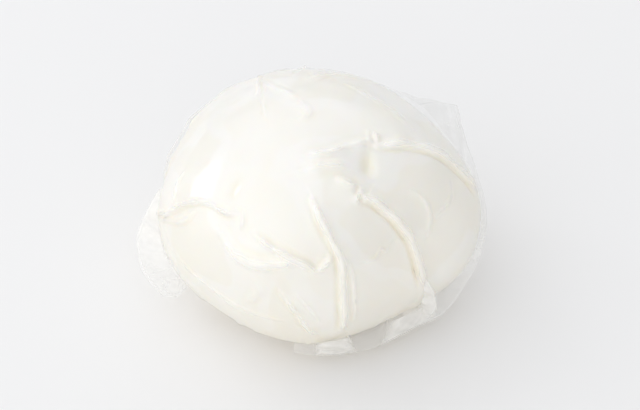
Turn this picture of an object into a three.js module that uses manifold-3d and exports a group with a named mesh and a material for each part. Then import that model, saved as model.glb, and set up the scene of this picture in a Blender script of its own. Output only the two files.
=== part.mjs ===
// A ball of fresh cheese, sealed in a clear film bag that has been shrunk tight round it.
// Millimetres, +Z up. The origin is on the floor, at the middle of the flat spot that the ball
// rests on. +X is the ball's right, and -Y its front.

import * as THREE from "three";
import { mergeVertices } from "three/addons/utils/BufferGeometryUtils.js";
import Module from "manifold-3d";

// ---- driving dimensions ----

const BALL_WIDTH = 82.8; // along X, at the waist
const BALL_DEPTH = 78.8; // along Y, at the waist
const BALL_HEIGHT = 59.8; // from the flat spot to the crown
const WAIST = 26.5; // height of the widest level above the flat spot
const BELLY = 30.9; // how far below the waist the underside would reach if the floor didn't flatten it
const FILM = 0.25; // wall of the bag, thickened so that it stays a sound solid
const GAP = 0.3; // clearance between the cheese and the bag
const SEAM = 2 * FILM; // the seam is two walls of the bag, pressed together
const SEAM_ROOT = -1.4; // the seam starts this far under the ball's skin, before the inside is cut away

// Where the bag is left open: a small round vent under the ball, clear of the middle of the flat spot.
const VENT = { x: -9, y: 8, radius: 2 };

// The outline at the waist isn't quite round: shallow waves of [count, depth, azimuth of a crest].
const OUTLINE_WAVES = [
  [1, 0.018, 209],
  [2, 0.012, -45],
  [3, 0.027, -6],
  [4, 0.017, -8],
  [5, 0.023, -16],
];

// Mesh fineness.
const AZIMUTH_STEPS = 56;
const RINGS = 18;
const STEPS_PER_LEG = 4;

// The bag's seam, as stations of [azimuth and latitude of its root on the ball, azimuth and
// latitude of its free edge, reach of that edge beyond the ball], in degrees and mm.
// From the back it stands up as a pointed ear, narrows to a rim on the right, and drops to the
// floor as a hem under the front.
const RIGHT_AND_FRONT_SEAM = [
  [68, 38, 68, 38, 0.8],
  [58, 36, 58, 34, 1.8],
  [47, 33, 48, 30, 4.5],
  [38, 26, 39, 13, 11.5],
  [22, 16, 24, 9, 5.5],
  [8, 9, 8, 7, 2.4],
  [-5, 2, -5, 1, 1.4],
  [-17, -8, -17, -7, 1.4],
  [-26, -20, -26, -20, 3.2],
  [-33, -30, -34, -33, 6],
  [-42, -34, -42, -45, 5],
  [-58, -37, -58, -46, 5.5],
  [-75, -38, -75, -47, 4.8],
  [-92, -40, -92, -49, 3],
  [-106, -40, -106, -49, 2],
];

// The bag's corner at the left: a flap that hangs from the waist almost to the floor.
const LEFT_FLAP = [
  [178, 8, 178, 8, 0.8],
  [184, 4, 184, 3, 2.5],
  [191, -2, 192, -4, 6],
  [198, -9, 198, -15, 8.5],
  [204, -16, 204, -27, 7.5],
  [209, -22, 209, -28, 3],
  [211, -25, 211, -27, 0.8],
];

// ---- the ball's shape ----

const radians = THREE.MathUtils.degToRad;

// How much wider or narrower than its mean the ball is towards an azimuth.
function outline(azimuth) {
  const addWave = (sum, [count, depth, crest]) => sum + depth * Math.cos(count * (azimuth - radians(crest)));
  return OUTLINE_WAVES.reduce(addWave, 1);
}

// A point of the ball's skin, or of a shell that stands off it. Angles are in radians.
function shellPoint(azimuth, latitude, standoff) {
  const across = (BALL_WIDTH / 2) * outline(azimuth) + standoff;
  const along = (BALL_DEPTH / 2) * outline(azimuth) + standoff;
  const tall = (latitude > 0 ? BALL_HEIGHT - WAIST : BELLY) + standoff;
  return new THREE.Vector3(
    across * Math.cos(latitude) * Math.cos(azimuth),
    along * Math.cos(latitude) * Math.sin(azimuth),
    FILM + GAP + WAIST + tall * Math.sin(latitude),
  );
}

// The lowest latitude of a shell, where the floor flattens it.
function flatSpotLatitude(standoff) {
  return -Math.asin((WAIST + standoff) / (BELLY + standoff));
}

// The closed dome of a shell: rings from the flat spot up to the crown, and a flat base.
function domeGeometry(standoff) {
  const lowest = flatSpotLatitude(standoff);
  const points = [];
  for (let ring = 0; ring < RINGS; ring += 1) {
    const latitude = lowest + (Math.PI / 2 - lowest) * (ring / RINGS);
    for (let step = 0; step < AZIMUTH_STEPS; step += 1) {
      points.push(shellPoint((2 * Math.PI * step) / AZIMUTH_STEPS, latitude, standoff));
    }
  }
  const crown = points.push(shellPoint(0, Math.PI / 2, standoff)) - 1;
  const baseCentre = points.push(new THREE.Vector3(0, 0, points[0].z)) - 1;

  const triangles = [];
  const topRing = (RINGS - 1) * AZIMUTH_STEPS;
  for (let step = 0; step < AZIMUTH_STEPS; step += 1) {
    const next = (step + 1) % AZIMUTH_STEPS;
    triangles.push([baseCentre, next, step]);
    triangles.push([crown, topRing + step, topRing + next]);
    for (let ring = 0; ring < topRing; ring += AZIMUTH_STEPS) {
      const above = ring + AZIMUTH_STEPS;
      triangles.push([ring + step, ring + next, above + next]);
      triangles.push([ring + step, above + next, above + step]);
    }
  }
  return meshGeometry(points, triangles);
}

// ---- the bag's seam ----

// The stations with even steps put in between each pair.
function refine(stations) {
  const fine = [stations[0]];
  for (let leg = 1; leg < stations.length; leg += 1) {
    for (let step = 1; step <= STEPS_PER_LEG; step += 1) {
      const share = step / STEPS_PER_LEG;
      fine.push(stations[leg - 1].map((from, i) => from + (stations[leg][i] - from) * share));
    }
  }
  return fine;
}

// A point of a shell from angles in degrees.
function stationPoint(azimuth, latitude, standoff) {
  return shellPoint(radians(azimuth), radians(latitude), standoff);
}

// A thin plate between the seam's root, under the ball's skin, and its free edge.
function seamGeometry(stations) {
  const fine = refine(stations);
  const roots = fine.map(([azimuth, latitude]) => stationPoint(azimuth, latitude, SEAM_ROOT));
  const edges = fine.map(([, , azimuth, latitude, reach]) => stationPoint(azimuth, latitude, reach));
  const points = fine.flatMap((_, i) => {
    const along = edges[Math.min(i + 1, edges.length - 1)].clone().sub(edges[Math.max(i - 1, 0)]);
    const across = edges[i].clone().sub(roots[i]);
    const half = along.cross(across).normalize().multiplyScalar(SEAM / 2);
    return [
      roots[i].clone().add(half),
      edges[i].clone().add(half),
      edges[i].clone().sub(half),
      roots[i].clone().sub(half),
    ];
  });

  const triangles = [];
  for (let start = 0; start + 4 < points.length; start += 4) {
    for (let side = 0; side < 4; side += 1) {
      const a = start + side;
      const b = start + ((side + 1) % 4);
      triangles.push([a, b, b + 4]);
      triangles.push([a, b + 4, a + 4]);
    }
  }
  const end = points.length - 4;
  triangles.push([0, 2, 1], [0, 3, 2]);
  triangles.push([end, end + 1, end + 2], [end, end + 2, end + 3]);
  return meshGeometry(points, triangles);
}

// ---- meshes and solids ----

function meshGeometry(points, triangles) {
  const coordinates = points.flatMap((point) => point.toArray());
  const geometry = new THREE.BufferGeometry();
  geometry.setAttribute("position", new THREE.Float32BufferAttribute(coordinates, 3));
  geometry.setIndex(triangles.flat());
  return geometry;
}

const wasm = await Module();
wasm.setup();

function toSolid(geometry) {
  const bare = geometry.clone();
  bare.deleteAttribute("normal");
  bare.deleteAttribute("uv");
  const merged = mergeVertices(bare);
  const vertProperties = new Float32Array(merged.attributes.position.array);
  const triVerts = new Uint32Array(merged.index.array);
  return new wasm.Manifold(new wasm.Mesh({ numProp: 3, vertProperties, triVerts }));
}

function toGeometry(solid) {
  const { vertProperties, triVerts } = solid.getMesh();
  const geometry = new THREE.BufferGeometry();
  geometry.setAttribute("position", new THREE.BufferAttribute(vertProperties, 3));
  geometry.setIndex(new THREE.BufferAttribute(triVerts, 1));
  return geometry;
}

// ---- the two pieces ----

// The cheese was formed as one piece, so it is one solid.
function cheeseBall() {
  const material = new THREE.MeshStandardMaterial({ color: 0xf6f2e4, roughness: 0.45, metalness: 0 });
  const mesh = new THREE.Mesh(domeGeometry(0), material);
  mesh.name = "cheese_ball";
  return mesh;
}

function ventSolid() {
  const drill = new THREE.CylinderGeometry(VENT.radius, VENT.radius, 4 * FILM, 16);
  drill.rotateX(Math.PI / 2);
  drill.translate(VENT.x, VENT.y, 0);
  return toSolid(drill);
}

// The bag is one film: the skin round the ball, with its seam standing out of it.
function filmBag() {
  const inside = toSolid(domeGeometry(GAP));
  const skin = toSolid(domeGeometry(GAP + FILM));
  const front = toSolid(seamGeometry(RIGHT_AND_FRONT_SEAM));
  const flap = toSolid(seamGeometry(LEFT_FLAP));
  const bag = skin.add(front).add(flap).subtract(inside).subtract(ventSolid());
  const material = new THREE.MeshStandardMaterial({
    color: 0xf2f4f5,
    roughness: 0.12,
    metalness: 0,
    transparent: true,
    opacity: 0.25,
  });
  const mesh = new THREE.Mesh(toGeometry(bag), material);
  mesh.name = "film_bag";
  return mesh;
}

const part = new THREE.Group();
part.add(cheeseBall(), filmBag());

export default part;
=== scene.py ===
"""A ball of fresh cheese in a tight, creased, clear film bag, on a pale floor.

The ball's own shape and the bag's seam are the CAD model's. This script adds the finish: the
creases that the shrunk film has pressed into the soft cheese, the film with its pleats, pockets
and crumpled corners, and the materials.
"""

import math

import bmesh
import bpy
import numpy as np
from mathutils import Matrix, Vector, noise


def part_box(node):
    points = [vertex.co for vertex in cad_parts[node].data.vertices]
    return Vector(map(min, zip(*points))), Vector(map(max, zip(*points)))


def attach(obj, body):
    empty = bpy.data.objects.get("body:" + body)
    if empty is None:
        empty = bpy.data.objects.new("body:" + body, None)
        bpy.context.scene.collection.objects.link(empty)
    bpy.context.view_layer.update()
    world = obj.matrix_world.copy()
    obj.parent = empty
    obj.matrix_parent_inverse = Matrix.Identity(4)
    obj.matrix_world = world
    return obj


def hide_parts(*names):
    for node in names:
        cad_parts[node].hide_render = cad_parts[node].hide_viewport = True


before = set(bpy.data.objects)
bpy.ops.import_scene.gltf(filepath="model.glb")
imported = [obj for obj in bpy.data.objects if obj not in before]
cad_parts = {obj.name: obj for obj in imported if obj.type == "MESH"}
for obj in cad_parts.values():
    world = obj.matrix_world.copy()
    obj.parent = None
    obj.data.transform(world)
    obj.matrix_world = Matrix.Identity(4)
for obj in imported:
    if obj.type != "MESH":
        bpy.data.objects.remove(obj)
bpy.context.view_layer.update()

MM = 0.001

# ---- driving dimensions, as in the CAD model ----

BALL_LOW, BALL_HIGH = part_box("cheese_ball")
BALL_HEIGHT = BALL_HIGH.z - BALL_LOW.z
WAIST = 0.443 * BALL_HEIGHT  # height of the widest level above the flat spot
BELLY = 0.517 * BALL_HEIGHT  # how far below the waist the underside would reach in the air
FILM_GAP = 0.12 * MM  # between the skin of the cheese and the film that lies on it
FLOOR_CLEARANCE = 0.02 * MM

# Shallow waves of the outline at the waist: (count, depth, azimuth of a crest).
OUTLINE_WAVES = (
    (1, 0.018, 209),
    (2, 0.012, -45),
    (3, 0.027, -6),
    (4, 0.017, -8),
    (5, 0.023, -16),
)

GRID_STEPS = 200  # quads along each edge of the cube that makes the ball
SEED = 7

# The profile of a crease, across its path. Distances are in crease widths, and heights and depths
# are shares of the crease's height.
CREASE_REACH = 7  # how far it is felt
CREST_ROUNDING = 0.4
CREST_SHARE, CREST_FALL = 0.5, 0.5  # its sharp crest, and how fast that falls away
SWELL_SHARE, SWELL_WIDTH = 0.34, 2.0  # the soft swell that the crest stands on
GENTLE_SIDE = 2.2  # how much wider the swell is on the side away from the trough
TROUGH_SHARE, TROUGH_PLACE, TROUGH_WIDTH = 0.6, 1.1, 0.55
PLEAT, PLEAT_WIDTH = 0.2, 0.45  # how far the film's own pleat stands off the crest
BRIDGING = 0.5  # how much of a trough's depth the taut film spans
CREASE_SHADE_GAIN = 1.3  # how fast the painted shade in a trough deepens, per mm of its depth

# The cheese's own soft lumps, as (height in mm, size in m, seed).
LUMPS = ((0.55, 17 * MM, 1), (0.2, 7 * MM, 2))
FILM_EASE, FILM_EASE_SIZE, FILM_EASE_SEED = 0.09 * MM, 8 * MM, 5  # the film never lies quite tight

# Shares of light that the film scatters.
HAZE_ON_SKIN = 0.01  # where it lies on the cheese
CREST_MILK_AND_HIGHLIGHT, CREST_MILK_AND_HIGHLIGHT_WIDTH = 0.3, 0.5  # more of it along the creases: partly milky film, partly a painted highlight on each crest
HAZE = 0.04  # where it is loose
MILKY_HAZE = 0.9  # more of it where it was creased hard
FREE_EDGE_HAZE = 0.2  # and at its cut edge

# Shares of light that the film's two faces mirror.
ASLANT = 0.35  # seen edge on
TWO_FACES = 0.09  # seen square on

CAMERA_AZIMUTH, CAMERA_ELEVATION = -90, 42
CAMERA_DISTANCE = 6.68  # in widths of the ball
FOCAL_LENGTH = 120  # mm
WINDOW_AZIMUTH, WINDOW_ELEVATION = 148, 46
WINDOW_DISTANCE, WINDOW_SIDE = 0.75, 0.4  # m
WINDOW_WATTS = 0.5
ROOM_LIGHT = 0.61

# Soft patches of light in the studio's surround, as (azimuth, elevation, how far from its middle the
# patch is full, how far it reaches, extra brightness), in degrees. The last one is the dim side.
GLOWS = (
    (161, 26, 2, 8, 2.2),
    (95, 48, 5, 45, 0.45),
    (-128, 30, 10, 85, 0.68),
    (-10, 15, 20, 80, -0.07),
)

# ---- the ball's shape ----


def outline(azimuth):
    """How much wider or narrower than its mean the ball is towards an azimuth."""
    total = np.ones_like(azimuth)
    for count, depth, crest in OUTLINE_WAVES:
        total = total + depth * np.cos(count * (azimuth - math.radians(crest)))
    return total


ALL_ROUND = np.linspace(0, 2 * math.pi, 721)
HALF_WIDTH = (BALL_HIGH.x - BALL_LOW.x) / np.ptp(outline(ALL_ROUND) * np.cos(ALL_ROUND))
HALF_DEPTH = (BALL_HIGH.y - BALL_LOW.y) / np.ptp(outline(ALL_ROUND) * np.sin(ALL_ROUND))


def soft_floor(height, rounding=0.5 * MM):
    """The height, pressed flat where it would go below 0, with a soft edge."""
    return rounding * np.logaddexp(0, height / rounding)


def shell_point(azimuth, latitude, standoff=0.0):
    """A point of the ball's skin, or of a shell that stands off it. Angles are in radians."""
    azimuth, latitude, standoff = np.broadcast_arrays(azimuth, latitude, standoff)
    across = HALF_WIDTH * outline(azimuth) + standoff
    along = HALF_DEPTH * outline(azimuth) + standoff
    tall = np.where(latitude > 0, BALL_HEIGHT - WAIST, BELLY) + standoff
    height = soft_floor(WAIST + standoff + tall * np.sin(latitude)) - standoff
    return np.stack(
        [
            across * np.cos(latitude) * np.cos(azimuth),
            along * np.cos(latitude) * np.sin(azimuth),
            BALL_LOW.z + height,
        ],
        axis=-1,
    )


def station_points(stations, standoff=0.0):
    """Points of the shell from (azimuth, latitude) pairs in degrees."""
    angles = np.radians(np.array(stations, float))
    return shell_point(angles[:, 0], angles[:, 1], standoff)


# ---- creases ----

# Each crease is (height, width, side of its trough, depth of its trough, stations). Heights and
# widths are in mm, the side is 1 for the left of its path, -1 for the right and 0 for both, and the
# stations are (azimuth, latitude) in degrees. The two stars on the right of the crown are where
# most of the pleats meet.
UPPER_STAR, LOWER_STAR = (-35, 63), (-65, 49)
CREASES = (
    # from the upper star: along the right shoulder, to the left over the crown, and two short spikes
    (1.5, 1.3, -1, 0.75, [UPPER_STAR, (-27, 60), (-22, 58), (-17, 53), (-13, 47), (-11, 40), (-10, 30),
                          (-8, 14)]),
    (0.8, 1.8, -1, 0.5, [UPPER_STAR, (-37, 66), (-46, 67), (-61, 68), (-77, 68), (-91, 68), (-108, 66)]),
    (0.9, 0.9, 1, 0.5, [UPPER_STAR, (-29, 66), (-23, 69)]),
    (0.6, 0.8, 1, 0.6, [(-43, 63), (-33, 68), (-22, 71)]),
    # between the stars
    (-1.1, 1.8, 0, 0.0, [(-43, 64), (-50, 60), (-54, 56), (-60, 52)]),
    (0.8, 2.0, -1, 0.5, [(-101, 61), (-87, 63), (-72, 61), (-65, 57), (-61, 54)]),
    (0.8, 1.3, -1, 0.4, [LOWER_STAR, (-70, 53), (-75, 56), (-81, 59)]),
    # from the lower star down to the crumpled corner at the right front
    (1.6, 1.3, -1, 0.9, [LOWER_STAR, (-64, 46), (-61, 44), (-57, 39), (-54, 34), (-52, 29), (-50, 23),
                         (-49, 14), (-48, 3), (-46, -8)]),
    (1.1, 0.9, 1, 0.5, [LOWER_STAR, (-69, 47), (-69, 44)]),
    # the rim of the trapped bubble beside it
    (0.45, 1.0, 1, 0.5, [(-42, 42), (-39, 40), (-37, 36), (-37, 32), (-38, 28), (-40, 24), (-44, 19),
                         (-47, 17)]),
    (0.35, 0.7, 0, 0.4, [(-20, 35), (-23, 32), (-26, 29), (-33, 27), (-39, 24)]),
    # fine zigzag on the front
    (0.3, 0.6, 0, 0.5, [(-75, 21), (-71, 21), (-67, 21), (-64, 24), (-62, 22), (-58, 25), (-53, 25)]),
    # the long front pleat with its twin and its branch to the left
    (1.5, 1.3, -1, 0.7, [(-92, 50), (-88, 42), (-85, 36), (-83, 31), (-81, 25), (-81, 16), (-81, 9),
                         (-81, 0), (-81, -18)]),
    (0.8, 0.9, -1, 0.5, [(-80, 26), (-78, 22), (-77, 14), (-77, 5), (-77, -12)]),
    (1.1, 1.3, -1, 0.6, [(-83, 30), (-86, 25), (-90, 22), (-95, 25), (-100, 27), (-108, 30),
                         (-119, 33)]),
    # broad roll on the left of the front
    (1.3, 2.2, 1, 0.5, [(-129, 26), (-123, 22), (-118, 21), (-112, 21), (-105, 23), (-95, 26)]),
    # the edge of the film that is folded over from the left flap
    (1.0, 1.0, -1, 0.6, [(-174, 2), (-162, 14), (-157, 21), (-153, 27), (-149, 31), (-144, 34),
                         (-139, 35), (-134, 35), (-129, 36), (-125, 39)]),
    (0.7, 0.9, 1, 0.5, [(-125, 39), (-123, 36), (-121, 31)]),
    (0.7, 0.9, -1, 0.5, [(-168, 6), (-157, 15), (-151, 19), (-148, 23), (-147, 31)]),
    (-0.5, 1.6, 0, 0.0, [(-136, 50), (-135, 44), (-134, 39)]),
    # lower left, down to the floor
    (1.2, 1.3, -1, 0.6, [(-102, 11), (-97, 3), (-94, -5), (-89, -18)]),
    (0.6, 0.8, -1, 0.4, [(-96, 10), (-92, 4), (-88, -6)]),
    (0.6, 1.3, 1, 0.5, [(-111, 13), (-110, 9), (-112, 4), (-116, -2)]),
    (0.4, 0.6, 1, 0.4, [(-150, 4), (-142, 0), (-136, -1), (-129, -3), (-120, -5), (-109, -5),
                        (-99, -6)]),
    # the left shoulder and the crown
    (0.5, 0.7, 0, 0.5, [(-167, 36), (-165, 31), (-161, 25), (-158, 18)]),
    (0.7, 0.8, 1, 0.5, [(118, 42), (131, 57), (139, 62), (152, 63)]),
    (0.5, 0.9, -1, 0.5, [(135, 64), (148, 67), (168, 70), (-164, 72)]),
    (0.35, 1.2, 1, 0.5, [(128, 58), (132, 68), (134, 77), (150, 82)]),
    (0.4, 1.4, 1, 0.5, [(150, 82), (160, 86), (-145, 87), (-130, 85), (-139, 82), (-156, 80)]),
    (0.3, 1.2, 0, 0.5, [(-5, 55), (15, 62), (40, 66), (70, 66)]),
    # the back, which the front's seam runs on round
    (0.6, 1.1, 1, 0.6, [(70, 36), (84, 38), (97, 38), (110, 37), (121, 34)]),
    (1.0, 1.0, -1, 0.6, [(121, 36), (136, 26), (150, 17), (165, 11), (178, 7)]),
    (1.2, 1.2, 1, 0.6, [(97, 46), (95, 34), (91, 20), (90, 6), (92, -12)]),
    (0.8, 1.4, -1, 0.5, [(97, 46), (100, 56), (112, 64)]),
    (1.0, 1.1, -1, 0.6, [(121, 36), (122, 22), (119, 8), (121, -8), (126, -24)]),
    (0.8, 1.2, 1, 0.5, [(62, 30), (66, 16), (64, 2), (68, -14)]),
    (0.7, 1.6, -1, 0.5, [(46, 18), (42, 4), (40, -12), (44, -28)]),
    (0.9, 1.1, 1, 0.6, [(150, 17), (148, 4), (151, -10), (147, -26)]),
    (0.7, 1.5, -1, 0.5, [(20, 6), (16, -8), (14, -24)]),
    (0.6, 1.8, 1, 0.4, [(60, 54), (80, 60), (104, 70)]),
    (0.7, 1.0, -1, 0.5, [(170, 10), (172, -4), (168, -18), (171, -32)]),
)

# Where air is trapped and the film stands off the cheese: (azimuth, latitude, radius, lift), in
# degrees and mm.
AIR_POCKETS = (
    (-26, 32, 8, 0.35),
    (158, 22, 13, 0.8),
    (150, 47, 12, 0.9),
    (110, 60, 10, 0.7),
    (20, 55, 12, 0.4),
    (-150, 12, 9, 0.5),
    (-120, -12, 10, 0.4),
    (95, 10, 12, 0.5),
)

# Short pleats all round the underside, where the film was drawn in.
HEM_PLEATS = 34


def belly_pleats():
    """Short, steep pleats round the belly, placed by chance."""
    draw = np.random.default_rng(SEED)
    pleats = []
    for i in range(HEM_PLEATS):
        azimuth = 360 * (i + draw.uniform(-0.35, 0.35)) / HEM_PLEATS
        top = draw.uniform(-38, -20)
        drift = draw.uniform(-7, 7)
        height, width = draw.uniform(0.2, 0.5), draw.uniform(0.7, 1.2)
        stations = [(azimuth, top), (azimuth + drift / 2, (top - 52) / 2), (azimuth + drift, -52)]
        pleats.append((height, width, int(draw.choice([-1, 0, 1])), 0.5, stations))
    return tuple(pleats)


def smooth_path(stations, steps=8):
    """A Catmull-Rom curve over the ball's skin through the stations."""
    knots = station_points(stations)
    knots = np.concatenate([2 * knots[:1] - knots[1:2], knots, 2 * knots[-1:] - knots[-2:-1]])
    t = np.linspace(0, 1, steps, endpoint=False)[:, None]
    legs = []
    for a, b, c, d in zip(knots, knots[1:], knots[2:], knots[3:]):
        square, cube = 2 * a - 5 * b + 4 * c - d, 3 * b - a - 3 * c + d
        legs.append(0.5 * (2 * b + (c - a) * t + square * t**2 + cube * t**3))
    return np.concatenate([*legs, knots[-2:-1]])


def near_path(points, path, reach):
    """For the points within reach of a path: their indices, signed distances and places along it."""
    low, high = path.min(0) - reach, path.max(0) + reach
    index = np.flatnonzero(((points > low) & (points < high)).all(1))
    start, leg = path[:-1], np.diff(path, axis=0)
    offset = points[index, None] - start
    share = np.clip((offset * leg).sum(2) / (leg * leg).sum(1), 0, 1)
    gap = offset - share[..., None] * leg
    distance = np.linalg.norm(gap, axis=2)
    nearest = distance.argmin(1)
    rows = np.arange(len(index))
    centre = np.array([0, 0, BALL_LOW.z + WAIST])
    left = np.cross(start[nearest] - centre, leg[nearest])
    side = np.sign((gap[rows, nearest] * left).sum(1))
    travelled = np.concatenate([[0], np.cumsum(np.linalg.norm(leg, axis=1))])
    along = np.interp(nearest + share[rows, nearest], np.arange(len(path)), travelled)
    near = distance[rows, nearest] < reach
    return index[near], (distance[rows, nearest] * side)[near], along[near], travelled[-1]


def bell(distance, width):
    return np.exp(-((distance / width) ** 2))


def smooth_step(share):
    share = np.clip(share, 0, 1)
    return share * share * (3 - 2 * share)


def fade_out(along, length):
    """1 along a crease, falling to a third at its start and to nothing at its end."""
    fade = min(6 * MM, 0.45 * length)
    return (0.33 + 0.67 * smooth_step(along / fade)) * smooth_step((length - along) / fade)


def crease_lift(number, height, along, length):
    """The height of a crease's crest along its path, in m. It waxes and wanes a little."""
    slow = 0.18 * np.sin(along / (2.1 * MM) + number)
    quick = 0.1 * np.sin(along / (0.9 * MM) + 2 * number)
    return height * MM * fade_out(along, length) * (1 + slow + quick)


def creases_relief(points, creases):
    """What the creases do at each point: how far they lift the cheese's skin and how far they lift the
    film off it, in m, and how much they whiten the film along their crests (milky film and a painted
    highlight) and how much painted shade they put in the cheese's troughs, from 0."""
    crest_power, trough_power, film, crest_milk_and_highlight = (np.zeros(len(points)) for _ in range(4))
    for number, (height, width, trough_side, trough, stations) in enumerate(creases):
        path = smooth_path(stations)
        index, distance, along, length = near_path(points, path, CREASE_REACH * width * MM)
        x = distance / (width * MM)
        lift = crease_lift(number, height, along, length) * (1 - (x / CREASE_REACH) ** 2) ** 2
        if height < 0:
            trough_power[index] += (-lift * bell(x, 1.0)) ** 3
            continue
        gentle = np.where(x * trough_side > 0, x, x / GENTLE_SIDE)
        edge = np.exp((CREST_ROUNDING - np.hypot(x, CREST_ROUNDING)) / CREST_FALL)
        crest = lift * (CREST_SHARE * edge + SWELL_SHARE * bell(gentle, SWELL_WIDTH))
        sides = (-1, 1) if trough_side == 0 else (trough_side,)
        dips = (bell(x - TROUGH_PLACE * side, TROUGH_WIDTH) for side in sides)
        dip = lift * trough * TROUGH_SHARE * sum(dips)
        crest_power[index] += crest**3
        trough_power[index] += dip**3
        film[index] = np.maximum(film[index], PLEAT * lift * bell(x, PLEAT_WIDTH))
        # the film whitens along the crest: partly milky film, partly a painted highlight
        crest_milk_and_highlight[index] = np.maximum(crest_milk_and_highlight[index], lift / MM * bell(x, CREST_MILK_AND_HIGHLIGHT_WIDTH))
    crest_height, trough_depth = np.cbrt(crest_power), np.cbrt(trough_power)
    film += BRIDGING * trough_depth
    # painted shade: the cheese's colour darkens in the deeper troughs
    painted_crease_shade = np.clip(CREASE_SHADE_GAIN * trough_depth / MM, 0, 1)
    return crest_height - trough_depth, film, np.minimum(1, crest_milk_and_highlight), painted_crease_shade


def slack(points):
    """How far the film stands off the cheese where air is trapped, in m."""
    total = np.zeros(len(points))
    for azimuth, latitude, radius, lift in AIR_POCKETS:
        gap = np.linalg.norm(points - station_points([(azimuth, latitude)]), axis=1)
        total = np.maximum(total, lift * MM * smooth_step(1.6 * (1 - gap / (radius * MM))))
    return total


def noise_field(points, size, seed):
    """Smooth noise from -1 to 1 at the points, with bumps about `size` m across."""
    shift = Vector((seed * 17.3, seed * 5.1, seed * 9.7))
    return np.array([noise.noise(Vector(p) / size + shift) for p in points.tolist()])


# ---- meshes ----


def ball_directions(steps):
    """Unit directions and quads of a cube blown up to a ball, with even quads."""
    bm = bmesh.new()
    bmesh.ops.create_cube(bm, size=2)
    bmesh.ops.subdivide_edges(bm, edges=bm.edges[:], cuts=steps - 1, use_grid_fill=True)
    cube = np.array([v.co[:] for v in bm.verts])
    quads = [[v.index for v in face.verts] for face in bm.faces]
    bm.free()
    ball = np.tan(cube * math.pi / 4)
    return ball / np.linalg.norm(ball, axis=1, keepdims=True), quads


def vertex_normals(points, quads):
    """Outward unit normals of a closed quad mesh."""
    a, b, c, d = (points[quads[:, i]] for i in range(4))
    face = np.cross(c - a, d - b)
    total = np.zeros_like(points)
    for i in range(4):
        np.add.at(total, quads[:, i], face)
    return total / np.linalg.norm(total, axis=1, keepdims=True)


def make_mesh(name, points, faces, material):
    mesh = bpy.data.meshes.new(name)
    mesh.from_pydata(points.tolist(), [], faces.tolist())
    mesh.validate()
    mesh.shade_smooth()
    mesh.materials.append(material)
    piece = bpy.data.objects.new(name, mesh)
    bpy.context.scene.collection.objects.link(piece)
    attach(piece, "root")
    return piece


def paint(piece, layer, values):
    """Stores one number for each vertex, which the material reads by name."""
    attribute = piece.data.attributes.new(layer, "FLOAT", "POINT")
    attribute.data.foreach_set("value", np.asarray(values, np.float32))


# ---- the bag's seam ----

# The CAD model's seam, in more steps, and the look of its pocket at each: (azimuth and latitude of
# the root, azimuth and latitude of the free edge, reach, fullness, milkiness), in degrees and mm.
# Film that was creased hard has turned milky.
RIGHT_AND_FRONT_SEAM = (
    (60, 36, 60, 35, 0.5, 0.1, 0.1),
    (50, 34, 51, 31, 1.2, 0.5, 0.1),
    (44, 31, 45, 25, 3.4, 1.2, 0.1),
    (40, 28, 41, 17, 8.2, 2.0, 0.1),
    (38, 26, 39, 13, 11.5, 2.4, 0.1),
    (31, 21, 32, 12, 8.4, 2.2, 0.25),
    (22, 16, 24, 9, 5.9, 1.6, 0.15),
    (8, 9, 8, 7, 2.4, 0.6, 0.2),
    (-5, 2, -5, 1, 1.6, 0.4, 0.2),
    (-17, -8, -17, -7, 1.8, 0.5, 0.3),
    (-26, -20, -26, -20, 3.2, 1.0, 0.1),
    (-33, -28, -34, -32, 5.6, 1.4, 0.1),
    (-42, -26, -42, -38, 5.2, 1.4, 0.95),
    (-54, -24, -57, -39, 5.4, 1.4, 1.0),
    (-58, -29, -63, -39, 5.2, 0.8, 0.05),
    (-76, -29, -72, -40, 4.6, 0.8, 0.05),
    (-79, -20, -77, -41, 4.2, 1.4, 1.0),
    (-88, -21, -88, -42, 3.5, 1.2, 1.0),
    (-91, -31, -91, -42, 3.3, 0.5, 0.2),
    (-100, -36, -100, -43, 3.0, 0.3, 0.2),
)
LEFT_FLAP = (
    (178, 8, 178, 8, 0.8, 0.2, 0.6),
    (184, 4, 184, 3, 3.0, 0.8, 0.75),
    (191, -2, 191, -4, 6.4, 1.6, 0.85),
    (197, -9, 197, -14, 7.8, 1.8, 0.55),
    (203, -16, 204, -25, 7.2, 1.4, 0.25),
    (206, -20, 207, -27, 4.6, 1.0, 0.35),
    (208, -22, 209, -24, 0.6, 0.3, 0.3),
)
# The crumpled end of the diagonal pleat, at the right of the front.
TUFT = (
    (-47, 2, -47, 2, 0.5, 0.2, 0.6),
    (-45, -8, -44, -8, 2.2, 0.8, 0.8),
    (-43, -17, -42, -19, 4.0, 1.5, 0.9),
    (-41, -25, -40, -31, 4.6, 1.6, 0.9),
    (-40, -31, -39, -36, 2.2, 0.8, 0.7),
)
STEPS_PER_LEG = 14
STEPS_ACROSS = 16
SEAL_LINE = 0.9  # where the two walls meet, as a share of the way out to the free edge
WALL_GAP = 0.06 * MM
BIG_FACET, SMALL_FACET = (3.6, 6), (2.2, 5)  # mm, along the seam and across it


def refine(stations, steps=STEPS_PER_LEG):
    """The stations with even steps put in between each pair."""
    rows = np.array(stations, float)
    knots = np.arange(len(rows))
    fine = np.linspace(0, len(rows) - 1, (len(rows) - 1) * steps + 1)
    return np.stack([np.interp(fine, knots, column) for column in rows.T], axis=1)


def unit(vectors):
    return vectors / np.linalg.norm(vectors, axis=-1, keepdims=True)


def facets(u, v, draw):
    """Random heights from -1 to 1 on a grid of whole numbers, with a flat facet between each four."""
    u, v = u - u.min(), v - v.min()
    table = draw.uniform(-1, 1, (int(u.max()) + 2, int(v.max()) + 2))
    i, j = u.astype(int), v.astype(int)
    s, t = u - i, v - j
    near = table[i, j] * (1 - s) + table[i + 1, j] * s
    far = table[i, j + 1] * (1 - s) + table[i + 1, j + 1] * s
    return near * (1 - t) + far * t


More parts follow.
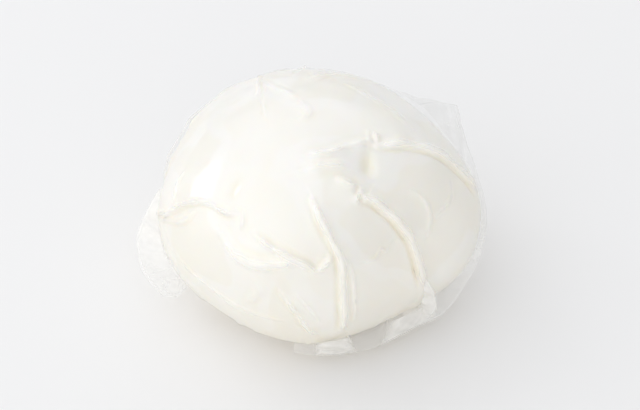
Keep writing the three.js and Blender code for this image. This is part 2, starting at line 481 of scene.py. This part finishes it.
def seam_pocket(stations, crumple, seed):
    """Two walls of film that stand out of the ball, sealed together along their free edge."""
    fine = refine(stations)
    root = station_points(fine[:, 0:2], FILM_GAP)
    edge = shell_point(np.radians(fine[:, 2]), np.radians(fine[:, 3]), fine[:, 4] * MM)
    wall_normal = unit(np.cross(unit(np.gradient(edge, axis=0)), edge - root))
    legs = np.linalg.norm(np.diff(edge, axis=0), axis=1)
    place = np.concatenate([[0], np.cumsum(legs)]) / MM
    reach = np.linalg.norm(edge - root, axis=1) / MM
    draw = np.random.default_rng(seed)
    shares = np.linspace(0, 1, STEPS_ACROSS + 1) ** 0.8
    along, share = np.meshgrid(place, shares)
    out = share * reach
    points, faces, haze = [], [], []
    count = len(fine)
    for wall in (1, -1):
        first = len(points) * count * (STEPS_ACROSS + 1)
        gape = fine[:, 5] * MM * np.clip(1 - share / SEAL_LINE, 0, 1) ** 0.7 + WALL_GAP
        big = facets(along / BIG_FACET[0] + 0.35 * out, out / BIG_FACET[1] + 0.08 * along, draw)
        small = facets(along / SMALL_FACET[0] - 0.25 * out, out / SMALL_FACET[1], draw)
        loose = np.interp(share, [0, 0.15, 0.7, SEAL_LINE, 1], [0.1, 1, 0.7, 0.2, 0.1])
        fold = crumple * MM * (big + 0.2 * small) * loose * np.minimum(1, reach / 3)
        grid = root + share[..., None] * (edge - root) + (wall * gape + fold)[..., None] * wall_normal
        points.append(grid.reshape(-1, 3))
        creased = 0.45 + 0.55 * np.clip(0.4 + 1.2 * big + 0.3 * small, 0, 1)
        milky = fine[:, 6] * creased * np.where(share < SEAL_LINE, 1, 0.3)
        haze.append((HAZE + MILKY_HAZE * milky + FREE_EDGE_HAZE * (share > 0.96)).ravel())
        faces.append(first + grid_quads(STEPS_ACROSS + 1, count)[:, ::wall])
    points, faces = np.concatenate(points), np.concatenate(faces)
    points[:, 2] = np.maximum(points[:, 2], FLOOR_CLEARANCE)
    return points, faces, np.concatenate(haze)


def grid_quads(rows, columns):
    """Quads that join rows of points, one row after another."""
    start = np.add.outer(np.arange(rows - 1) * columns, np.arange(columns - 1)).ravel()
    return np.stack([start, start + 1, start + columns + 1, start + columns], axis=1)


# ---- materials ----


def new_material(name):
    material = bpy.data.materials.new(name)
    material.use_nodes = True
    nodes = material.node_tree.nodes
    nodes.clear()
    return material, nodes, material.node_tree.links


def noise_node(nodes, links, scale, detail, roughness=0.5, coords=None):
    node = nodes.new("ShaderNodeTexNoise")
    node.inputs["Scale"].default_value = scale
    node.inputs["Detail"].default_value = detail
    node.inputs["Roughness"].default_value = roughness
    if coords is not None:
        links.new(coords, node.inputs["Vector"])
    return node


def ramp_node(nodes, links, source, stops):
    node = nodes.new("ShaderNodeValToRGB")
    elements = node.color_ramp.elements
    elements[0].position, elements[0].color = stops[0]
    elements[1].position, elements[1].color = stops[-1]
    for position, colour in stops[1:-1]:
        elements.new(position).color = colour
    links.new(source, node.inputs["Fac"])
    return node


def multiply_colours(nodes, links, first, second):
    node = nodes.new("ShaderNodeMix")
    node.data_type = "RGBA"
    node.blend_type = "MULTIPLY"
    node.inputs["Factor"].default_value = 1.0
    links.new(first, node.inputs["A"])
    links.new(second, node.inputs["B"])
    return node.outputs["Result"]


def grey(level):
    return (level, level, level, 1)


def cheese_colour(nodes, links, coords):
    """Mottled cream white, darker in patches, with painted shade in the troughs of the creases and
    painted shade low down, where it is yellower and darker towards the bottom.
    """
    mottle = noise_node(nodes, links, 55, 4, 0.55, coords)
    curd = [(0.3, (0.97, 0.932, 0.86, 1)), (0.7, (0.985, 0.962, 0.915, 1))]
    base = ramp_node(nodes, links, mottle.outputs["Fac"], curd).outputs["Color"]
    patches = noise_node(nodes, links, 38, 2, 0.4, coords)
    wetness = [
        (0.47, (0.975, 0.965, 0.94, 1)),
        (0.485, grey(1)),
        (0.56, grey(1)),
        (0.57, (0.985, 0.98, 0.965, 1)),
    ]
    tint = ramp_node(nodes, links, patches.outputs["Fac"], wetness)
    # painted shade in the troughs of the creases: darker and yellower where they are deep
    painted_crease_shade = nodes.new("ShaderNodeAttribute")
    painted_crease_shade.attribute_name = "painted_crease_shade"
    trough = [(0, grey(1)), (1, (0.965, 0.945, 0.86, 1))]
    depth = ramp_node(nodes, links, painted_crease_shade.outputs["Fac"], trough)
    height = nodes.new("ShaderNodeSeparateXYZ")
    links.new(nodes.new("ShaderNodeTexCoord").outputs["Generated"], height.inputs["Vector"])
    # painted shade low down: the cheese is yellower and darker towards the bottom
    low_to_high = [(0.15, (1, 0.968, 0.905, 1)), (0.85, grey(1))]
    painted_low_shade = ramp_node(nodes, links, height.outputs["Z"], low_to_high)
    for layer in (tint, depth, painted_low_shade):
        base = multiply_colours(nodes, links, base, layer.outputs["Color"])
    return base


def cheese_material():
    """Moist, milky curd: faintly mottled, soft inside, with a fine stretched grain."""
    material, nodes, links = new_material("fresh_cheese")
    out = nodes.new("ShaderNodeOutputMaterial")
    shader = nodes.new("ShaderNodeBsdfPrincipled")
    coords = nodes.new("ShaderNodeTexCoord").outputs["Object"]
    links.new(cheese_colour(nodes, links, coords), shader.inputs["Base Color"])
    wet = noise_node(nodes, links, 90, 3, 0.5, coords)
    gloss = ramp_node(nodes, links, wet.outputs["Fac"], [(0.35, grey(0.34)), (0.65, grey(0.5))])
    links.new(gloss.outputs["Color"], shader.inputs["Roughness"])
    grain = noise_node(nodes, links, 420, 5, 0.6, coords)
    bump = nodes.new("ShaderNodeBump")
    bump.inputs["Strength"].default_value = 0.12
    bump.inputs["Distance"].default_value = 0.3 * MM
    links.new(grain.outputs["Fac"], bump.inputs["Height"])
    links.new(bump.outputs["Normal"], shader.inputs["Normal"])
    shader.inputs["Subsurface Weight"].default_value = 0.35
    shader.inputs["Subsurface Radius"].default_value = (1.0, 0.75, 0.45)
    shader.inputs["Subsurface Scale"].default_value = 4 * MM
    shader.inputs["Specular IOR Level"].default_value = 0.35
    links.new(shader.outputs["BSDF"], out.inputs["Surface"])
    return material


def math_node(nodes, links, operation, *values):
    """A Math node whose inputs are numbers or other nodes' outputs."""
    node = nodes.new("ShaderNodeMath")
    node.operation = operation
    for socket, value in zip(node.inputs, values):
        if isinstance(value, bpy.types.NodeSocket):
            links.new(value, socket)
        else:
            socket.default_value = value
    return node.outputs[0]


def mix_shaders(nodes, links, share, first, second):
    """The first shader, with a share of the second: a number or another node's output."""
    node = nodes.new("ShaderNodeMixShader")
    if isinstance(share, bpy.types.NodeSocket):
        links.new(share, node.inputs["Fac"])
    else:
        node.inputs["Fac"].default_value = share
    links.new(first.outputs["BSDF"], node.inputs[1])
    links.new(second.outputs["BSDF"], node.inputs[2])
    return node.outputs["Shader"]


def clear_sheet(nodes, links):
    """Clear film, which mirrors the lights, and more so aslant."""
    coords = nodes.new("ShaderNodeTexCoord").outputs["Object"]
    ripple = noise_node(nodes, links, 240, 3, 0.55, coords)
    bump = nodes.new("ShaderNodeBump")
    bump.inputs["Strength"].default_value = 0.1
    bump.inputs["Distance"].default_value = 0.2 * MM
    links.new(ripple.outputs["Fac"], bump.inputs["Height"])
    mirror = nodes.new("ShaderNodeBsdfGlossy")
    mirror.inputs["Color"].default_value = (1, 1, 1, 1)
    mirror.inputs["Roughness"].default_value = 0.12
    links.new(bump.outputs["Normal"], mirror.inputs["Normal"])
    clear = nodes.new("ShaderNodeBsdfTransparent")
    clear.inputs["Color"].default_value = (0.985, 0.987, 0.987, 1)
    aslant = nodes.new("ShaderNodeLayerWeight")
    aslant.inputs["Blend"].default_value = 0.5
    links.new(bump.outputs["Normal"], aslant.inputs["Normal"])
    steep = math_node(nodes, links, "POWER", aslant.outputs["Facing"], 4.5)
    share = math_node(nodes, links, "MULTIPLY_ADD", steep, ASLANT - TWO_FACES, TWO_FACES)
    return mix_shaders(nodes, links, share, clear, mirror)


def milky_sheet(nodes, links):
    """Film that has turned white: it scatters light back and lets some through."""
    white = nodes.new("ShaderNodeBsdfDiffuse")
    glow = nodes.new("ShaderNodeBsdfTranslucent")
    for shader in (white, glow):
        shader.inputs["Color"].default_value = (0.98, 0.975, 0.955, 1)
    return mix_shaders(nodes, links, 0.3, white, glow)


def film_material():
    """Thin clear film, milky where it is creased, and whitened along the crests as a painted highlight.
    """
    material, nodes, links = new_material("clear_film")
    out = nodes.new("ShaderNodeOutputMaterial")
    haze = nodes.new("ShaderNodeAttribute")
    haze.attribute_name = "haze"
    mix = nodes.new("ShaderNodeMixShader")
    links.new(haze.outputs["Fac"], mix.inputs["Fac"])
    links.new(clear_sheet(nodes, links), mix.inputs[1])
    links.new(milky_sheet(nodes, links), mix.inputs[2])
    links.new(mix.outputs["Shader"], out.inputs["Surface"])
    return material


def floor_material():
    """Matt, nearly white paper."""
    material, nodes, links = new_material("pale_floor")
    out = nodes.new("ShaderNodeOutputMaterial")
    shader = nodes.new("ShaderNodeBsdfPrincipled")
    shader.inputs["Base Color"].default_value = (0.85, 0.85, 0.855, 1)
    shader.inputs["Roughness"].default_value = 0.9
    shader.inputs["Specular IOR Level"].default_value = 0.1
    links.new(shader.outputs["BSDF"], out.inputs["Surface"])
    return material


# ---- the pieces ----


def build_ball():
    """The cheese and the film that lies on it, from one grid, so that they never cross."""
    directions, quads = ball_directions(GRID_STEPS)
    azimuth = np.arctan2(directions[:, 1], directions[:, 0])
    latitude = np.arcsin(np.clip(directions[:, 2], -1, 1))
    base = shell_point(azimuth, latitude)
    quads = np.array(quads)
    normals = vertex_normals(base, quads)
    lift, off, crest_milk_and_highlight, painted_crease_shade = creases_relief(base, CREASES + belly_pleats())
    lumps = sum(height * noise_field(base, size, seed) for height, size, seed in LUMPS)
    above_floor = np.clip((base[:, 2] - BALL_LOW.z) / (4 * MM), 0, 1)
    relief = (lift + lumps * MM) * above_floor
    cheese = base + relief[:, None] * normals
    cheese[:, 2] = np.maximum(cheese[:, 2], BALL_LOW.z)
    off = off + slack(base) + FILM_EASE * (1 + noise_field(base, FILM_EASE_SIZE, FILM_EASE_SEED))
    film = cheese + (FILM_GAP + off * above_floor)[:, None] * vertex_normals(cheese, quads)
    sag = np.clip(1 - (film[:, 2] - BALL_LOW.z) / (1.5 * MM), 0, 1)
    film[:, 2] -= sag * (film[:, 2] - FLOOR_CLEARANCE)
    return cheese, film, quads, HAZE_ON_SKIN + CREST_MILK_AND_HIGHLIGHT * crest_milk_and_highlight, painted_crease_shade


def build_bag(skin, quads, skin_haze_and_highlight, material):
    """The whole bag as one piece: the skin round the ball, and the pockets along its seam."""
    parts = [(skin, quads, skin_haze_and_highlight)]
    for stations, crumple in ((RIGHT_AND_FRONT_SEAM, 0.6), (LEFT_FLAP, 0.3), (TUFT, 0.7)):
        parts.append(seam_pocket(stations, crumple, SEED))
    starts = np.cumsum([0] + [len(points) for points, _, _ in parts])
    points = np.concatenate([points for points, _, _ in parts])
    faces = np.concatenate([faces + start for start, (_, faces, _) in zip(starts, parts)])
    bag = make_mesh("film", points, faces, material)
    paint(bag, "haze", np.concatenate([haze for _, _, haze in parts]))
    return bag


def build_object():
    cheese_points, film_points, quads, skin_haze_and_highlight, painted_crease_shade = build_ball()
    cheese = make_mesh("cheese", cheese_points, quads, cheese_material())
    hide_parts("cheese_ball")
    paint(cheese, "painted_crease_shade", painted_crease_shade)
    bag = build_bag(film_points, quads, skin_haze_and_highlight, film_material())
    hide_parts("film_bag")


# ---- floor, lights and camera ----


def build_stage():
    bpy.ops.mesh.primitive_plane_add(size=6, location=(0, 0, 0))
    floor = bpy.context.object
    floor.name = "floor"
    floor.data.materials.append(floor_material())


def direction(azimuth, elevation):
    """The unit vector towards an azimuth and an elevation in degrees."""
    a, e = math.radians(azimuth), math.radians(elevation)
    return Vector((math.cos(e) * math.cos(a), math.cos(e) * math.sin(a), math.sin(e)))


def aim(thing, azimuth, elevation, distance, target):
    """Puts a light or camera at a distance from the target, looking at it."""
    back = direction(azimuth, elevation)
    thing.location = Vector(target) + distance * back
    thing.rotation_euler = back.to_track_quat("Z", "Y").to_euler()


def build_window(target):
    """A broad, soft light near by, behind the left shoulder. The film doesn't mirror it."""
    data = bpy.data.lights.new("window", "AREA")
    data.shape = "RECTANGLE"
    data.size = data.size_y = WINDOW_SIDE
    data.energy = WINDOW_WATTS
    light = bpy.data.objects.new("window", data)
    light.visible_glossy = False
    bpy.context.scene.collection.objects.link(light)
    aim(light, WINDOW_AZIMUTH, WINDOW_ELEVATION, WINDOW_DISTANCE, target)


def build_surround():
    """The studio's walls, even but for a few glows."""
    world = bpy.data.worlds.new("studio")
    world.use_nodes = True
    nodes, links = world.node_tree.nodes, world.node_tree.links
    background = nodes["Background"]
    background.inputs["Color"].default_value = (0.995, 1.0, 1.01, 1)
    towards = nodes.new("ShaderNodeTexCoord").outputs["Generated"]
    strength = ROOM_LIGHT
    for azimuth, elevation, full, end, extra in GLOWS:
        facing = nodes.new("ShaderNodeVectorMath")
        facing.operation = "DOT_PRODUCT"
        facing.inputs[1].default_value = direction(azimuth, elevation)
        links.new(towards, facing.inputs[0])
        glow = nodes.new("ShaderNodeMapRange")
        glow.interpolation_type = "SMOOTHSTEP"
        glow.inputs["From Min"].default_value = math.cos(math.radians(end))
        glow.inputs["From Max"].default_value = math.cos(math.radians(full))
        glow.inputs["To Max"].default_value = extra
        links.new(facing.outputs["Value"], glow.inputs["Value"])
        strength = math_node(nodes, links, "ADD", glow.outputs["Result"], strength)
    links.new(strength, background.inputs["Strength"])
    bpy.context.scene.world = world


def set_bounces():
    """White things close together, behind folds of clear film, need light that bounces on and on."""
    cycles = bpy.context.scene.cycles
    cycles.max_bounces = 24
    cycles.diffuse_bounces = 12
    cycles.glossy_bounces = 12
    cycles.transparent_max_bounces = 40


def build_camera(target):
    data = bpy.data.cameras.new("camera")
    data.lens = FOCAL_LENGTH
    camera = bpy.data.objects.new("camera", data)
    bpy.context.scene.collection.objects.link(camera)
    bpy.context.scene.camera = camera
    distance = CAMERA_DISTANCE * (BALL_HIGH.x - BALL_LOW.x)
    aim(camera, CAMERA_AZIMUTH, CAMERA_ELEVATION, distance, target)


build_object()
middle = ((BALL_LOW.x + BALL_HIGH.x) / 2, 0.3 * MM, BALL_LOW.z + WAIST)
build_stage()
build_surround()
build_window(middle)
build_camera(middle)
bpy.context.scene.view_settings.view_transform = "Standard"
bpy.context.scene.view_settings.gamma = 1.2
set_bounces()
